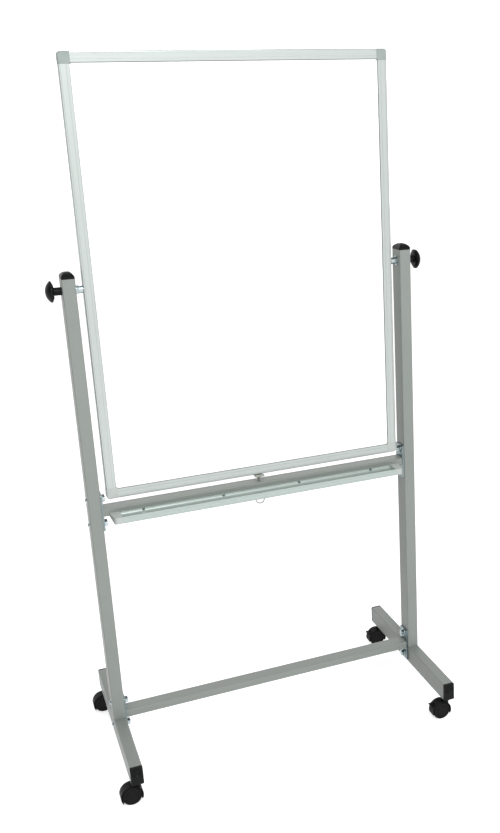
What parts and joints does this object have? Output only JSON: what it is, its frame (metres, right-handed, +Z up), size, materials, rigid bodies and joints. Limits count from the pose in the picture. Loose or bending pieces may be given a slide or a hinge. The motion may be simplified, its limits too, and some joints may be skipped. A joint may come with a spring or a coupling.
{
  "type": "rolling whiteboard",
  "caption": "Double-sided whiteboard that flips on side pivots in a tube frame, with a marker tray, a mid-span latch, clamp knobs and twin-wheel casters.",
  "frame": {"origin": "on the floor under the middle of the stand, in the plane of the board", "axes": "+X to the right seen from the tray side, +Y from the tray side to the back, +Z up"},
  "size_m": [0.927, 0.49, 1.713],
  "materials": {
    "frame_paint": "grey powder coat with a fine texture",
    "plate_zinc": "bright zinc plate with a bluish tint",
    "black_plastic": "moulded, satin",
    "anodised_aluminium": "extruded, satin anodised",
    "grey_plastic": "moulded, satin",
    "white_sheet": "gloss white lacquer on steel sheet",
    "core_board": "raw",
    "caster_plastic": "moulded, satin",
    "wheel_plastic": "moulded, semi-gloss",
    "axle_steel": "plain steel"
  },
  "bodies": {
    "frame": {"left_post": "frame_paint", "right_post": "frame_paint", "left_foot": "frame_paint", "right_foot": "frame_paint", "upper_crossbar": "frame_paint", "lower_crossbar": "frame_paint", "crossbar_end_plates": "plate_zinc", "left_post_cap": "black_plastic", "right_post_cap": "black_plastic", "foot_end_caps": "black_plastic", "post_spigots": "frame_paint", "frame_bolts": "plate_zinc", "frame_washers": "plate_zinc", "frame_nuts": "plate_zinc", "pivot_bushes": "black_plastic", "marker_tray": "anodised_aluminium", "left_tray_cap": "grey_plastic", "right_tray_cap": "grey_plastic", "tray_screws": "plate_zinc", "caster_stems": "plate_zinc", "caster_nuts": "plate_zinc", "latch_guides": "plate_zinc", "latch_spring": "plate_zinc"},
    "board": {"left_rail": "anodised_aluminium", "right_rail": "anodised_aluminium", "top_rail": "anodised_aluminium", "bottom_rail": "anodised_aluminium", "top_left_corner": "grey_plastic", "top_right_corner": "grey_plastic", "bottom_left_corner": "grey_plastic", "bottom_right_corner": "grey_plastic", "front_sheet": "white_sheet", "back_sheet": "white_sheet", "board_core": "core_board", "pivot_blocks": "plate_zinc", "pivot_studs": "plate_zinc", "pivot_sleeves": "plate_zinc", "pivot_nuts": "plate_zinc", "pivot_washers": "plate_zinc"},
    "left_clamp_washer": {"left_knob_washer": "black_plastic"},
    "left_clamp_knob": {"left_knob": "black_plastic"},
    "right_clamp_washer": {"right_knob_washer": "black_plastic"},
    "right_clamp_knob": {"right_knob": "black_plastic"},
    "latch": {"latch_pin": "plate_zinc", "latch_collar": "plate_zinc", "latch_ring": "plate_zinc"},
    "front_left_caster": {"front_left_hood": "caster_plastic"},
    "front_left_wheelset": {"front_left_axle": "axle_steel", "front_left_wheels": "wheel_plastic"},
    "front_right_caster": {"front_right_hood": "caster_plastic"},
    "front_right_wheelset": {"front_right_axle": "axle_steel", "front_right_wheels": "wheel_plastic"},
    "front_right_brake_lever": {"front_right_brake": "caster_plastic"},
    "back_left_caster": {"back_left_hood": "caster_plastic"},
    "back_left_wheelset": {"back_left_axle": "axle_steel", "back_left_wheels": "wheel_plastic"},
    "back_right_caster": {"back_right_hood": "caster_plastic"},
    "back_right_wheelset": {"back_right_axle": "axle_steel", "back_right_wheels": "wheel_plastic"},
    "back_right_brake_lever": {"back_right_brake": "caster_plastic"}
  },
  "joints": [
    {"name": "board_flip", "type": "hinge", "parent": "frame", "child": "board", "pos_m": [0, 0, 1.205], "axis": [1, 0, 0], "continuous": true},
    {"name": "left_knob_travel", "type": "slide", "parent": "board", "child": "left_clamp_washer", "axis": [-1, 0, 0], "range_m": [0, 0.0015]},
    {"name": "left_knob_turn", "type": "hinge", "parent": "left_clamp_washer", "child": "left_clamp_knob", "pos_m": [-0.44, 0, 1.205], "axis": [-1, 0, 0], "range_deg": [0, 360]},
    {"name": "right_knob_travel", "type": "slide", "parent": "board", "child": "right_clamp_washer", "axis": [1, 0, 0], "range_m": [0, 0.0015]},
    {"name": "right_knob_turn", "type": "hinge", "parent": "right_clamp_washer", "child": "right_clamp_knob", "pos_m": [0.44, 0, 1.205], "axis": [1, 0, 0], "range_deg": [0, 360]},
    {"name": "latch_slide", "type": "slide", "parent": "frame", "child": "latch", "axis": [0, 0, 1], "range_m": [-0.0045, 0.004], "stiffness_N_per_m": 300, "springref_m": 0.008, "deforming": ["latch_spring"]},
    {"name": "front_left_swivel", "type": "hinge", "parent": "frame", "child": "front_left_caster", "pos_m": [-0.413, -0.218, 0.05], "axis": [0, 0, 1], "continuous": true},
    {"name": "front_left_wheel_spin", "type": "hinge", "parent": "front_left_caster", "child": "front_left_wheelset", "pos_m": [-0.427, -0.218, 0.024], "axis": [0, 1, 0], "continuous": true},
    {"name": "front_right_swivel", "type": "hinge", "parent": "frame", "child": "front_right_caster", "pos_m": [0.413, -0.218, 0.05], "axis": [0, 0, 1], "continuous": true},
    {"name": "front_right_wheel_spin", "type": "hinge", "parent": "front_right_caster", "child": "front_right_wheelset", "pos_m": [0.399, -0.218, 0.024], "axis": [0, 1, 0], "continuous": true},
    {"name": "front_right_brake_press", "type": "hinge", "parent": "front_right_caster", "child": "front_right_brake_lever", "pos_m": [0.38521, -0.218, 0.03557], "axis": [0, -1, 0], "range_deg": [0, 12]},
    {"name": "back_left_swivel", "type": "hinge", "parent": "frame", "child": "back_left_caster", "pos_m": [-0.413, 0.218, 0.05], "axis": [0, 0, 1], "continuous": true},
    {"name": "back_left_wheel_spin", "type": "hinge", "parent": "back_left_caster", "child": "back_left_wheelset", "pos_m": [-0.427, 0.218, 0.024], "axis": [0, 1, 0], "continuous": true},
    {"name": "back_right_swivel", "type": "hinge", "parent": "frame", "child": "back_right_caster", "pos_m": [0.413, 0.218, 0.05], "axis": [0, 0, 1], "continuous": true},
    {"name": "back_right_wheel_spin", "type": "hinge", "parent": "back_right_caster", "child": "back_right_wheelset", "pos_m": [0.399, 0.218, 0.024], "axis": [0, 1, 0], "continuous": true},
    {"name": "back_right_brake_press", "type": "hinge", "parent": "back_right_caster", "child": "back_right_brake_lever", "pos_m": [0.38521, 0.218, 0.03557], "axis": [0, -1, 0], "range_deg": [0, 12]}
  ],
  "couplings": [
    {"joint": "left_knob_travel", "follows": "left_knob_turn", "m_per_rad": 0.00023873},
    {"joint": "right_knob_travel", "follows": "right_knob_turn", "m_per_rad": 0.00023873}
  ]
}
